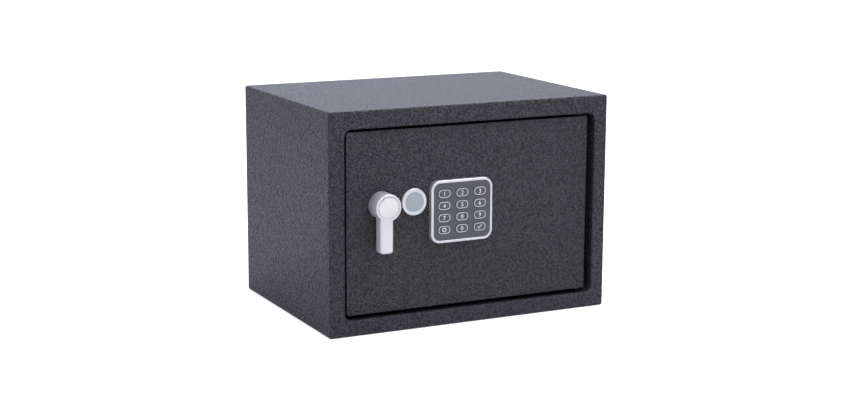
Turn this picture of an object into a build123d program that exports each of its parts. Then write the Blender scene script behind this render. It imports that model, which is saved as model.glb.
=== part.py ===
# Small electronic safe for a home or an office: a folded steel body, a flush swing door on two
# concealed pins, a keypad, a turning handle that throws two live bolts, and the lock's works.
# Sizes are in millimetres. X runs to the right, the front faces -Y and Z is up. The origin is the
# middle of the underside.
import math
import os

from build123d import *

os.makedirs("parts", exist_ok=True)

# Body: one folded sheet with a drawn front frame
body_width = 350.0
body_depth = 250.0
body_height = 250.0
body_steel = 2.0
body_bend = 2.6
frame_bend = 1.8
frame_latch_side = 19.0
frame_hinge_side = 16.5
frame_top = 20.5
frame_bottom = 18.0
lip_depth = 34.0
lip_bend = 2.2
opening_radius = 8.0
fixing_hole_radius = 5.0
fixing_spacing = 200.0
wall_fixing_height = 150.0
floor_fixing_setback = 20.0

# Door and its two pins
door_recess = 4.0
door_steel = 4.0
door_corner = 3.0
door_edge = 0.8
gap_latch_side = 3.0
gap_hinge_side = 7.5
gap_top = 3.0
gap_bottom = 4.7
pin_radius = 4.0
pin_from_edge = 4.0
pin_behind_front = 10.0
pin_head_radius = 5.4
pin_head_height = 2.0
running_clearance = 0.06
arm_height = 6.0
arm_radius = 7.0
arm_length = 19.0
bush_height = 5.0
bush_radius = 7.0

# Handle: hub, lever, face disc, spindle, crank and its bush
handle_from_latch = 63.0
handle_above_middle = 19.8
hub_radius = 15.0
hub_reach = 18.0
hub_clearance = 0.4
hub_edge = 0.9
face_pocket_radius = 12.6
face_pocket_depth = 1.6
face_disc_radius = 11.7
face_disc_thickness = 1.4
face_disc_edge = 0.4
lever_width = 16.0
lever_front = 15.0
lever_length = 52.0
lever_clearance = 2.0
lever_edge = 3.2
lever_end_edge = 2.0
spindle_radius = 4.0
spindle_square = 5.6
spindle_socket = 14.0
spindle_thread_radius = 2.5
bush_sleeve_radius = 6.0
bush_flange_radius = 9.0
bush_flange = 2.5
handle_swing = 45.0
crank_radius = 17.0
crank_steel = 3.0
crank_boss_radius = 8.0
crank_end_radius = 6.0
crank_pin_radius = 3.0
crank_pin_clearance = 0.3
nut_flats = 8.0
nut_height = 4.0
spindle_end = 1.0
crank_gap = 1.5
crank_pin_end = 1.0

# Bolt work: a sliding plate that carries two live bolts
bolt_radius = 8.0
bolt_spread = 38.0
bolt_tip_inset = 2.0
bolt_nose = 1.5
bolt_length = 58.0
bolt_slot_length = 16.0
bolt_hole_clearance = 0.6
bolt_behind_door = 9.5
plate_steel = 3.0
plate_left = 54.0
plate_right_middle = 86.0
plate_right_top = 98.0
plate_right_bottom = 106.0
plate_waist_half = 17.5
plate_edge_above_bolt = 10.0
plate_edge_below_bolt = 12.4
plate_shoulder_gap = 1.6
bolt_slot_overrun = 1.0
rivet_radius = 2.0
rivet_head = 0.8
guide_steel = 3.0
guide_from_door_edge = 22.0
guide_half_height = 10.0
guide_reach = 20.0
guide_foot_length = 10.0
guide_foot_steel = 2.0
guide_foot_height = 3.6
stud_radius = 3.0
stud_head_radius = 5.0
stud_head_height = 1.6
stud_clearance = 0.3
stud_x_from_handle = 17.0
stud_spread = 23.4
plate_corner = 3.0

# Locking solenoid under the plate
plunger_radius = 3.0
plunger_x_from_handle = 24.0
plunger_travel = 6.0
plunger_tip_gap = 0.5
plunger_tip_length = 6.0
plunger_collar_radius = 4.7
plunger_collar_height = 1.0
plunger_clearance = 0.3
notch_clearance = 0.5
solenoid_width = 22.0
solenoid_height = 28.0
solenoid_steel = 1.5
solenoid_depth = 19.0
coil_radius = 7.8
spring_radius = 3.9
spring_wire = 0.35
spring_turns = 3.0
plunger_in_coil = 20.0
collar_clearance = 1.0

# Emergency lock behind its cap
lock_from_latch = 103.0
cap_radius = 15.2
cap_height = 3.0
cap_face_radius = 11.15
cap_face_depth = 0.7
cap_face_inset = 0.15
cap_edge = 0.8
cap_wall = 2.6
cap_roof = 0.5
cap_seat_gap = 0.1
lock_flange_radius = 12.0
lock_flange = 1.2
lock_radius = 9.5
lock_behind_door = 22.0
lock_plug_radius = 5.5
lock_plug_inset = 0.2
keyway_length = 8.4
keyway_width = 2.2
keyway_depth = 14.0
lock_tail_radius = 3.0
lock_tail_length = 3.0
lock_cam_steel = 2.0
lock_cam_gap = 0.5
lock_cam_length = 24.0
lock_cam_end_radius = 5.0
lock_nut_flats_radius = 12.0
lock_nut_height = 3.5

# Keypad
keypad_from_latch = 160.3
keypad_above_middle = 6.3
keypad_width = 77.0
keypad_tall = 71.0
keypad_thickness = 7.0
keypad_corner = 11.0
keypad_border = 3.0
keypad_edge = 1.0
keypad_ledge_width = 1.6
keypad_ledge_depth = 2.2
panel_thickness = 1.6
panel_fit = 0.1
key_width = 15.5
key_tall = 9.9
key_corner = 3.6
key_pitch_x = 22.3
key_pitch_z = 13.65
key_columns = 3
key_rows = 4
key_proud = 0.7
key_clearance = 0.3
key_flange = 0.9
key_flange_thickness = 0.8
key_travel = 0.8
key_seat_gap = 0.05
mat_thickness = 1.0
mat_pad_width = 5.0
board_thickness = 1.6
cable_hole_radius = 5.0

# Inner cover with the battery hatch and the reset button
cover_left_from_door = 16.0
cover_right_from_door = 36.0
cover_bottom_from_door = 11.3
cover_top_from_door = 10.5
cover_depth = 35.0
cover_steel = 1.2
cover_corner = 6.0
cover_edge = 2.4
post_inset = 6.5
post_radius = 4.0
screw_hole_radius = 1.8
screw_radius = 1.5
screw_head_radius = 3.2
screw_head_height = 1.6
screw_length = 9.0
reset_above_lid = 14.2
reset_radius = 4.0
reset_proud = 2.0
reset_edge = 0.6
reset_clearance = 0.3
reset_flange_radius = 5.5
reset_flange = 1.2
reset_seat_gap = 0.1
reset_cup_radius = 7.5
reset_cup_depth = 11.0
reset_cup_bore_depth = 6.0

# Battery case, cells, contacts and lid
cell_radius = 7.25
cell_length = 50.5
cell_nub_radius = 2.6
cell_nub = 1.0
cell_pitch = 15.6
cell_count = 4
cell_gap = 0.3
contact_room = 4.0
contact_plate = 0.5
contact_plate_size = 11.0
contact_tip_width = 5.0
case_wall = 1.6
case_depth = 18.5
case_rib = 0.8
case_rib_height = 5.0
case_from_cover_right = 8.0
hatch_inset = 1.0
lid_overlap = 2.5
lid_thickness = 1.6
lid_gap = 0.2
lid_grip_count = 5
lid_grip_pitch = 3.0
lid_grip_depth = 0.6
lid_grip_width = 1.2
lid_grip_length = 24.0
rail_lip = 1.6
rail_wall = 1.2
rail_side_gap = 0.3

# Main circuit board
main_board_width = 72.0
main_board_height = 46.0
main_board_gap = 6.0
main_board_from_latch = 166.0
main_board_below_middle = 32.6
spacer_radius = 3.0
spacer_inset = 4.5

# Planes and places that follow from the sizes above
front_y = -body_depth / 2
back_y = body_depth / 2
latch_x = -body_width / 2
opening_left = latch_x + frame_latch_side
opening_right = body_width / 2 - frame_hinge_side
opening_bottom = frame_bottom
opening_top = body_height - frame_top
opening_width = opening_right - opening_left
opening_height = opening_top - opening_bottom
opening_centre = ((opening_left + opening_right) / 2, (opening_bottom + opening_top) / 2)

door_left = opening_left + gap_latch_side
door_right = opening_right - gap_hinge_side
door_bottom = opening_bottom + gap_bottom
door_top = opening_top - gap_top
door_width = door_right - door_left
door_height = door_top - door_bottom
door_centre = ((door_left + door_right) / 2, (door_bottom + door_top) / 2)
door_front_y = front_y + door_recess
door_back_y = door_front_y + door_steel
pin_x = door_right - pin_from_edge
pin_y = door_front_y + pin_behind_front

handle_x = latch_x + handle_from_latch
handle_z = door_centre[1] + handle_above_middle
lock_x = latch_x + lock_from_latch
lock_z = handle_z
keypad_x = latch_x + keypad_from_latch
keypad_z = door_centre[1] + keypad_above_middle

plate_mid_y = door_back_y + bolt_behind_door
plate_front_y = plate_mid_y - plate_steel / 2
plate_back_y = plate_mid_y + plate_steel / 2
bolt_heights = (handle_z - bolt_spread, handle_z + bolt_spread)
bolt_tip_x = door_left + bolt_tip_inset
bolt_stroke = 2 * crank_radius * math.sin(math.radians(handle_swing / 2))
crank_front_y = plate_back_y + crank_gap
crank_back_y = crank_front_y + crank_steel
crank_angle = handle_swing / 2
crank_pin_x = handle_x + crank_radius * math.sin(math.radians(crank_angle))
crank_pin_z = handle_z + crank_radius * math.cos(math.radians(crank_angle))

cover_left = door_left + cover_left_from_door
cover_right = door_right - cover_right_from_door
cover_bottom = door_bottom + cover_bottom_from_door
cover_top = door_top - cover_top_from_door
cover_width = cover_right - cover_left
cover_height = cover_top - cover_bottom
cover_centre = ((cover_left + cover_right) / 2, (cover_bottom + cover_top) / 2)
cover_back_y = door_back_y + cover_depth
cover_inside_y = cover_back_y - cover_steel


def facing(y):
    """The upright plane at depth y, which looks out of the front and has Z as its upward axis."""
    return Plane.XZ.offset(-y)


def save(piece, name):
    """Label a finished piece and write it to its own file."""
    piece.part.label = name
    export_step(piece.part, f"parts/{name}.step")


# Body shell: a wrapped sheet whose front is a drawn frame with a deep lip turned inwards
with BuildPart() as body_shell:
    with BuildSketch(facing(back_y)):
        with Locations((0, body_height / 2)):
            RectangleRounded(body_width, body_height, body_bend)
    extrude(amount=body_depth)
    fillet(body_shell.faces().sort_by(Axis.Y)[0].edges(), frame_bend)
    with BuildSketch(facing(back_y)):
        with Locations((0, body_height / 2)):
            RectangleRounded(
                body_width - 2 * body_steel,
                body_height - 2 * body_steel,
                body_bend - body_steel,
            )
    extrude(amount=body_depth - body_steel, mode=Mode.SUBTRACT)
    with BuildSketch(facing(front_y + lip_depth)):
        with Locations(opening_centre):
            RectangleRounded(
                opening_width + 2 * body_steel,
                opening_height + 2 * body_steel,
                opening_radius + body_steel,
            )
    extrude(amount=lip_depth - body_steel / 2)
    with BuildSketch(facing(front_y + lip_depth)):
        with Locations(opening_centre):
            RectangleRounded(opening_width, opening_height, opening_radius)
    extrude(amount=lip_depth, mode=Mode.SUBTRACT)
    fillet(body_shell.faces().sort_by(Axis.Y)[0].inner_wires()[0].edges(), lip_bend)
    # The live bolts shoot through two holes in the lip on the latch side
    with BuildSketch(Plane.YZ.offset(opening_left)):
        with Locations(*[(plate_mid_y, z) for z in bolt_heights]):
            Circle(bolt_radius + bolt_hole_clearance)
    extrude(amount=-body_steel, mode=Mode.SUBTRACT)
    # The door's pins turn in the lip above and below
    with BuildSketch(Plane.XY.offset(opening_top - body_steel)):
        with Locations((pin_x, pin_y)):
            Circle(pin_radius + running_clearance)
    extrude(amount=2 * body_steel, mode=Mode.SUBTRACT)
    with BuildSketch(Plane.XY.offset(opening_bottom - body_steel)):
        with Locations((pin_x, pin_y)):
            Circle(pin_radius + running_clearance)
    extrude(amount=2 * body_steel, mode=Mode.SUBTRACT)
    # Two fixing holes in the floor
    with BuildSketch(Plane.XY):
        with Locations((0, floor_fixing_setback)):
            with GridLocations(fixing_spacing, 0, 2, 1):
                Circle(fixing_hole_radius)
    extrude(amount=body_steel, mode=Mode.SUBTRACT)
save(body_shell, "body_shell")

# Back panel, set flush into the end of the wrap, with two wall fixing holes
with BuildPart() as back_panel:
    with BuildSketch(facing(back_y)):
        with Locations((0, body_height / 2)):
            RectangleRounded(
                body_width - 2 * body_steel,
                body_height - 2 * body_steel,
                body_bend - body_steel,
            )
        with Locations((0, wall_fixing_height)):
            with GridLocations(fixing_spacing, 0, 2, 1):
                Circle(fixing_hole_radius, mode=Mode.SUBTRACT)
    extrude(amount=body_steel)
save(back_panel, "back_panel")

# Hinge bushes: a collar on the outer side of the lip round each pin
with BuildPart() as hinge_bushes:
    with BuildSketch(
        Plane.XY.offset(opening_top + body_steel),
        Plane.XY.offset(opening_bottom - body_steel - bush_height),
    ):
        with Locations((pin_x, pin_y)):
            Circle(bush_radius)
            Circle(pin_radius + running_clearance, mode=Mode.SUBTRACT)
    extrude(amount=bush_height)
save(hinge_bushes, "hinge_bushes")

# Door plate with its holes for the handle bush, the emergency lock and the keypad lead
with BuildPart() as door_plate:
    with BuildSketch(facing(door_back_y)):
        with Locations(door_centre):
            RectangleRounded(door_width, door_height, door_corner)
    extrude(amount=door_steel)
    fillet(door_plate.faces().sort_by(Axis.Y)[0].edges(), door_edge)
    with BuildSketch(facing(door_back_y)):
        with Locations((handle_x, handle_z)):
            Circle(bush_sleeve_radius)
        with Locations((lock_x, lock_z)):
            Circle(lock_radius)
        with Locations((keypad_x, keypad_z)):
            Circle(cable_hole_radius)
    extrude(amount=door_steel, mode=Mode.SUBTRACT)
save(door_plate, "door_plate")

# Hinge arms: two lugs welded to the back of the door that hold the pins
arm_levels = (door_bottom, door_top - arm_height)
with BuildPart() as hinge_arms:
    with BuildSketch(*[Plane.XY.offset(z) for z in arm_levels]):
        with Locations((pin_x, pin_y)):
            Circle(arm_radius)
        with Locations((pin_x + pin_from_edge - arm_length / 2, (door_back_y + pin_y) / 2)):
            Rectangle(arm_length, pin_y - door_back_y)
        with Locations((pin_x, door_back_y - arm_radius)):
            Rectangle(4 * arm_radius, 2 * arm_radius, mode=Mode.SUBTRACT)
        with Locations((pin_x, pin_y)):
            Circle(pin_radius, mode=Mode.SUBTRACT)
    extrude(amount=arm_height)
save(hinge_arms, "hinge_arms")

# Hinge pins: headed pins that run from the arms through the lip and its bushes
pin_reach = arm_height + gap_top + body_steel + bush_height
with BuildPart() as hinge_pins:
    with BuildSketch(Plane.XY.offset(door_top - arm_height)):
        with Locations((pin_x, pin_y)):
            Circle(pin_radius)
    extrude(amount=pin_reach)
    with BuildSketch(Plane.XY.offset(door_top - arm_height)):
        with Locations((pin_x, pin_y)):
            Circle(pin_head_radius)
    extrude(amount=-pin_head_height)
    with BuildSketch(Plane.XY.offset(door_bottom + arm_height)):
        with Locations((pin_x, pin_y)):
            Circle(pin_radius)
    extrude(amount=-(pin_reach + gap_bottom - gap_top))
    with BuildSketch(Plane.XY.offset(door_bottom + arm_height)):
        with Locations((pin_x, pin_y)):
            Circle(pin_head_radius)
    extrude(amount=pin_head_height)
save(hinge_pins, "hinge_pins")

# Handle bush: a flanged sleeve that the spindle turns in
with BuildPart() as handle_bush:
    with BuildSketch(facing(door_back_y)):
        with Locations((handle_x, handle_z)):
            Circle(bush_sleeve_radius)
    extrude(amount=door_steel)
    with BuildSketch(facing(door_back_y)):
        with Locations((handle_x, handle_z)):
            Circle(bush_flange_radius)
    extrude(amount=-bush_flange)
    with BuildSketch(facing(door_back_y + bush_flange)):
        with Locations((handle_x, handle_z)):
            Circle(spindle_radius + running_clearance)
    extrude(amount=door_steel + bush_flange, mode=Mode.SUBTRACT)
save(handle_bush, "handle_bush")

# Handle: one casting of a round hub and a straight lever that hangs down from it
hub_back_y = door_front_y - hub_clearance
hub_front_y = front_y - hub_reach
lever_back_y = door_front_y - lever_clearance
lever_front_y = front_y - lever_front
with BuildPart() as handle_lever:
    with BuildSketch(facing(lever_back_y)):
        with Locations((handle_x, handle_z - lever_length / 2)):
            Rectangle(lever_width, lever_length)
    extrude(amount=lever_back_y - lever_front_y)
    fillet(handle_lever.edges().filter_by(Axis.Z), lever_edge)
    chamfer(handle_lever.faces().sort_by(Axis.Z)[0].edges(), lever_end_edge)
    with BuildSketch(facing(hub_back_y)):
        with Locations((handle_x, handle_z)):
            Circle(hub_radius)
    extrude(amount=hub_back_y - hub_front_y)
    chamfer(handle_lever.faces().sort_by(Axis.Y)[0].edges(), hub_edge)
    with BuildSketch(facing(hub_front_y)):
        with Locations((handle_x, handle_z)):
            Circle(face_pocket_radius)
    extrude(amount=-face_pocket_depth, mode=Mode.SUBTRACT)
    with BuildSketch(facing(hub_back_y)):
        with Locations((handle_x, handle_z)):
            Circle(spindle_radius)
    extrude(amount=spindle_socket, mode=Mode.SUBTRACT)
save(handle_lever, "handle_lever")

# Handle disc: the turned plate let into the face of the hub
with BuildPart() as handle_disc:
    with BuildSketch(facing(hub_front_y + face_pocket_depth)):
        with Locations((handle_x, handle_z)):
            Circle(face_disc_radius)
    extrude(amount=face_disc_thickness)
    chamfer(handle_disc.faces().sort_by(Axis.Y)[0].edges(), face_disc_edge)
save(handle_disc, "handle_disc")

# Handle spindle: round in its bush, square through the crank, then a stub for the nut
with BuildPart() as handle_spindle:
    with BuildSketch(facing(crank_front_y)):
        with Locations((handle_x, handle_z)):
            Circle(spindle_radius)
    extrude(amount=crank_front_y - hub_back_y + spindle_socket)
    with BuildSketch(facing(crank_back_y)):
        with Locations((handle_x, handle_z)):
            Rectangle(spindle_square, spindle_square, rotation=-crank_angle)
    extrude(amount=crank_steel)
    with BuildSketch(facing(crank_back_y + nut_height + spindle_end)):
        with Locations((handle_x, handle_z)):
            Circle(spindle_thread_radius)
    extrude(amount=nut_height + spindle_end)
save(handle_spindle, "handle_spindle")

# Handle crank: an arm on the spindle's square, whose pin reaches forward into the plate's slot
with BuildPart() as handle_crank:
    with BuildSketch(facing(crank_back_y)):
        with BuildLine():
            boss = CenterArc((handle_x, handle_z), crank_boss_radius, 0, 360, mode=Mode.PRIVATE)
            end = CenterArc((crank_pin_x, crank_pin_z), crank_end_radius, 0, 360, mode=Mode.PRIVATE)
            add(boss)
            add(end)
        make_hull()
        with Locations((handle_x, handle_z)):
            Rectangle(spindle_square, spindle_square, rotation=-crank_angle, mode=Mode.SUBTRACT)
    extrude(amount=crank_steel)
    with BuildSketch(facing(crank_front_y)):
        with Locations((crank_pin_x, crank_pin_z)):
            Circle(crank_pin_radius)
    extrude(amount=crank_front_y - plate_front_y + crank_pin_end)
save(handle_crank, "handle_crank")

# Spindle nut
with BuildPart() as spindle_nut:
    with BuildSketch(facing(crank_back_y + nut_height)):
        with Locations((handle_x, handle_z)):
            RegularPolygon(nut_flats / 2, 6, major_radius=False)
            Circle(spindle_thread_radius, mode=Mode.SUBTRACT)
    extrude(amount=nut_height)
save(spindle_nut, "spindle_nut")

# Bolt plate: it slides on two studs, is driven by the crank and is stopped by the plunger
plate_top = bolt_heights[1] + plate_edge_above_bolt
plate_bottom = bolt_heights[0] - plate_edge_below_bolt
bolt_back_x = bolt_tip_x + bolt_length
bolt_seat_x = bolt_back_x - bolt_slot_length
shoulder_low = bolt_heights[0] + guide_half_height + plate_shoulder_gap
shoulder_high = bolt_heights[1] - guide_half_height - plate_shoulder_gap
stud_x = handle_x + stud_x_from_handle
stud_heights = (handle_z - stud_spread, handle_z + stud_spread)
plunger_x = handle_x + plunger_x_from_handle
crank_lift = crank_radius * (1 - math.cos(math.radians(crank_angle)))
with BuildPart() as bolt_plate:
    with BuildSketch(facing(plate_back_y)) as plate_outline:
        with BuildLine():
            Polyline(
                (latch_x + plate_left, shoulder_low),
                (latch_x + plate_left, shoulder_high),
                (bolt_seat_x, shoulder_high),
                (bolt_seat_x, plate_top),
                (latch_x + plate_right_top, plate_top),
                (latch_x + plate_right_top, handle_z + plate_waist_half),
                (latch_x + plate_right_middle, handle_z + plate_waist_half),
                (latch_x + plate_right_middle, handle_z - plate_waist_half),
                (latch_x + plate_right_bottom, handle_z - plate_waist_half),
                (latch_x + plate_right_bottom, plate_bottom),
                (bolt_seat_x, plate_bottom),
                (bolt_seat_x, shoulder_low),
                close=True,
            )
        make_face()
        fillet(
            plate_outline.vertices().group_by(Axis.X)[0]
            + plate_outline.vertices().group_by(Axis.X)[-1]
            + plate_outline.vertices().group_by(Axis.X)[-2],
            plate_corner,
        )
        # The spindle passes through a level slot as long as the stroke
        with Locations((handle_x + bolt_stroke / 2, handle_z)):
            SlotCenterToCenter(
                bolt_stroke, 2 * (spindle_radius + stud_clearance), mode=Mode.SUBTRACT
            )
        # The crank's pin rises and falls in an upright slot
        with Locations((crank_pin_x, crank_pin_z + crank_lift / 2)):
            SlotCenterToCenter(
                crank_lift + 2 * crank_pin_clearance,
                2 * (crank_pin_radius + crank_pin_clearance),
                rotation=90,
                mode=Mode.SUBTRACT,
            )
        with Locations(*[(stud_x + bolt_stroke / 2, z) for z in stud_heights]):
            SlotCenterToCenter(bolt_stroke, 2 * (stud_radius + stud_clearance), mode=Mode.SUBTRACT)
        # One notch for the plunger with the bolts drawn back, one with them thrown
        notch_depth = plunger_travel - plunger_tip_gap + notch_clearance
        with Locations(
            (plunger_x, plate_bottom + notch_depth / 2),
            (plunger_x + bolt_stroke, plate_bottom + notch_depth / 2),
        ):
            Rectangle(
                2 * (plunger_radius + notch_clearance), notch_depth, mode=Mode.SUBTRACT
            )
    extrude(amount=plate_steel)
    with BuildSketch(facing(plate_back_y)):
        with Locations(*[(bolt_back_x - bolt_slot_length / 2, z) for z in bolt_heights]):
            Circle(rivet_radius)
    extrude(amount=plate_steel, mode=Mode.SUBTRACT)
save(bolt_plate, "bolt_plate")

# Live bolts: two turned bars, each slotted at its tail to take the edge of the plate
with BuildPart() as live_bolts:
    with BuildSketch(Plane.YZ.offset(bolt_tip_x)):
        with Locations(*[(plate_mid_y, z) for z in bolt_heights]):
            Circle(bolt_radius)
    extrude(amount=bolt_length)
    chamfer(live_bolts.faces().group_by(Axis.X)[0].edges(), bolt_nose)
    with BuildSketch(facing(plate_back_y)):
        with Locations(*[(bolt_back_x - bolt_slot_length / 2, z) for z in bolt_heights]):
            Rectangle(bolt_slot_length, 2 * bolt_radius + bolt_slot_overrun)
    extrude(amount=plate_steel, mode=Mode.SUBTRACT)
    with BuildSketch(facing(plate_mid_y + bolt_radius)):
        with Locations(*[(bolt_back_x - bolt_slot_length / 2, z) for z in bolt_heights]):
            Circle(rivet_radius)
    extrude(amount=2 * bolt_radius, mode=Mode.SUBTRACT)
save(live_bolts, "live_bolts")

# Bolt rivets: one pin through each bolt's tail and the plate
with BuildPart() as bolt_rivets:
    with BuildSketch(facing(plate_mid_y + bolt_radius + rivet_head / 2)):
        with Locations(*[(bolt_back_x - bolt_slot_length / 2, z) for z in bolt_heights]):
            Circle(rivet_radius)
    extrude(amount=2 * bolt_radius + rivet_head)
save(bolt_rivets, "bolt_rivets")

# Bolt guides: an upright bracket round each bolt, with two feet welded to the door
guide_x = door_left + guide_from_door_edge
with BuildPart() as bolt_guides:
    with BuildSketch(Plane.YZ.offset(guide_x)):
        with Locations(*[(door_back_y + guide_reach / 2, z) for z in bolt_heights]):
            Rectangle(guide_reach, 2 * guide_half_height)
        with Locations(*[(plate_mid_y, z) for z in bolt_heights]):
            Circle(bolt_radius + running_clearance, mode=Mode.SUBTRACT)
    extrude(amount=guide_steel)
    foot_offset = guide_half_height - guide_foot_height / 2
    with BuildSketch(facing(door_back_y + guide_foot_steel)):
        with Locations(
            *[
                (guide_x + (guide_steel + guide_foot_length) / 2, z + side * foot_offset)
                for z in bolt_heights
                for side in (-1, 1)
            ]
        ):
            Rectangle(guide_steel + guide_foot_length, guide_foot_height)
    extrude(amount=guide_foot_steel)
save(bolt_guides, "bolt_guides")

# Guide studs: two headed studs on the door that the plate slides along
with BuildPart() as guide_studs:
    with BuildSketch(facing(door_back_y)):
        with Locations(*[(stud_x, z) for z in stud_heights]):
            Circle(stud_radius)
    extrude(amount=-(plate_back_y + stud_clearance - door_back_y))
    with BuildSketch(facing(plate_back_y + stud_clearance)):
        with Locations(*[(stud_x, z) for z in stud_heights]):
            Circle(stud_head_radius)
    extrude(amount=-stud_head_height)
save(guide_studs, "guide_studs")

# Solenoid frame: a channel on the door with the coil between its two flanges
plunger_tip_z = plate_bottom - plunger_tip_gap
collar_z = plunger_tip_z - plunger_tip_length - plunger_collar_height
solenoid_top = collar_z - plunger_travel - collar_clearance
solenoid_bottom = solenoid_top - solenoid_height
solenoid_mid_z = (solenoid_top + solenoid_bottom) / 2
with BuildPart() as solenoid_frame:
    with BuildSketch(facing(door_back_y + solenoid_depth)):
        with Locations((plunger_x, solenoid_mid_z)):
            Rectangle(solenoid_width, solenoid_height)
    extrude(amount=solenoid_depth)
    with BuildSketch(facing(door_back_y + solenoid_depth)):
        with Locations((plunger_x, solenoid_mid_z)):
            Rectangle(solenoid_width, solenoid_height - 2 * solenoid_steel)
    extrude(amount=solenoid_depth - solenoid_steel, mode=Mode.SUBTRACT)
    with BuildSketch(Plane.XY.offset(solenoid_bottom)):
        with Locations((plunger_x, plate_mid_y)):
            Circle(plunger_radius + plunger_clearance)
    extrude(amount=solenoid_height, mode=Mode.SUBTRACT)
save(solenoid_frame, "solenoid_frame")

# Solenoid coil on its bobbin
with BuildPart() as solenoid_coil:
    with BuildSketch(Plane.XY.offset(solenoid_bottom + solenoid_steel)):
        with Locations((plunger_x, plate_mid_y)):
            Circle(coil_radius)
            Circle(plunger_radius + plunger_clearance, mode=Mode.SUBTRACT)
    extrude(amount=solenoid_height - 2 * solenoid_steel)
save(solenoid_coil, "solenoid_coil")

# Solenoid plunger with its collar
with BuildPart() as solenoid_plunger:
    with BuildSketch(Plane.XY.offset(solenoid_top - plunger_in_coil)):
        with Locations((plunger_x, plate_mid_y)):
            Circle(plunger_radius)
    extrude(amount=plunger_tip_z - solenoid_top + plunger_in_coil)
    with BuildSketch(Plane.XY.offset(collar_z)):
        with Locations((plunger_x, plate_mid_y)):
            Circle(plunger_collar_radius)
    extrude(amount=plunger_collar_height)
save(solenoid_plunger, "solenoid_plunger")

# Plunger spring, wound between the channel's top flange and the collar
spring_height = collar_z - solenoid_top - 2 * spring_wire
with BuildPart() as plunger_spring:
    with BuildLine(Plane((plunger_x, plate_mid_y, solenoid_top + spring_wire))):
        coil_line = Helix(spring_height / spring_turns, spring_height, spring_radius)
    with BuildSketch(Plane(origin=coil_line @ 0, z_dir=coil_line % 0)):
        RegularPolygon(spring_wire, 4)
    sweep(is_frenet=True)
save(plunger_spring, "plunger_spring")

# Emergency lock barrel: a flanged cylinder through the door
lock_front_y = door_front_y - lock_flange
lock_back_y = door_back_y + lock_behind_door
with BuildPart() as lock_barrel:
    with BuildSketch(facing(lock_back_y)):
        with Locations((lock_x, lock_z)):
            Circle(lock_radius)
    extrude(amount=lock_back_y - door_front_y)
    with BuildSketch(facing(door_front_y)):
        with Locations((lock_x, lock_z)):
            Circle(lock_flange_radius)
    extrude(amount=lock_flange)
    with BuildSketch(facing(lock_back_y)):
        with Locations((lock_x, lock_z)):
            Circle(lock_plug_radius + running_clearance)
    extrude(amount=lock_back_y - lock_front_y, mode=Mode.SUBTRACT)
save(lock_barrel, "lock_barrel")

# Lock nut on the inner side of the door
with BuildPart() as lock_nut:
    with BuildSketch(facing(door_back_y + lock_nut_height)):
        with Locations((lock_x, lock_z)):
            RegularPolygon(lock_nut_flats_radius, 6, major_radius=False)
            Circle(lock_radius, mode=Mode.SUBTRACT)
    extrude(amount=lock_nut_height)
save(lock_nut, "lock_nut")

# Lock plug with its keyway and a tail for the cam
plug_front_y = lock_front_y + lock_plug_inset
with BuildPart() as lock_plug:
    with BuildSketch(facing(lock_back_y)):
        with Locations((lock_x, lock_z)):
            Circle(lock_plug_radius)
    extrude(amount=lock_back_y - plug_front_y)
    with BuildSketch(facing(plug_front_y)):
        with Locations((lock_x, lock_z)):
            SlotOverall(keyway_length, keyway_width, rotation=90)
    extrude(amount=-keyway_depth, mode=Mode.SUBTRACT)
    with BuildSketch(facing(lock_back_y)):
        with Locations((lock_x, lock_z)):
            Circle(lock_tail_radius)
    extrude(amount=-lock_tail_length)
save(lock_plug, "lock_plug")

# Lock cam, fixed to the plug's tail
cam_front_y = lock_back_y + lock_cam_gap
with BuildPart() as lock_cam:
    with BuildSketch(facing(cam_front_y + lock_cam_steel)):
        with Locations((lock_x, lock_z - lock_cam_length / 2)):
            SlotCenterToCenter(lock_cam_length, 2 * lock_cam_end_radius, rotation=90)
        with Locations((lock_x, lock_z)):
            Circle(lock_tail_radius, mode=Mode.SUBTRACT)
    extrude(amount=lock_cam_steel)
save(lock_cam, "lock_cam")

# Cap ring: a shallow cup that clips over the lock's flange, with a recess for its plain face
cap_front_y = door_front_y - cap_seat_gap - cap_height
with BuildPart() as cap_ring:
    with BuildSketch(facing(door_front_y - cap_seat_gap)):
        with Locations((lock_x, lock_z)):
            Circle(cap_radius)
    extrude(amount=cap_height)
    chamfer(cap_ring.faces().sort_by(Axis.Y)[0].edges(), cap_edge)
    with BuildSketch(facing(cap_front_y)):
        with Locations((lock_x, lock_z)):
            Circle(cap_face_radius)
    extrude(amount=-cap_face_depth, mode=Mode.SUBTRACT)
    with BuildSketch(facing(door_front_y - cap_seat_gap)):
        with Locations((lock_x, lock_z)):
            Circle(cap_radius - cap_wall)
    extrude(amount=cap_height - cap_face_depth - cap_roof, mode=Mode.SUBTRACT)
save(cap_ring, "cap_ring")

# Cap face: a bare disc in the ring's recess
with BuildPart() as cap_face:
    with BuildSketch(facing(cap_front_y + cap_face_depth)):
        with Locations((lock_x, lock_z)):
            Circle(cap_face_radius)
    extrude(amount=cap_face_depth - cap_face_inset)
save(cap_face, "cap_face")

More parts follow.
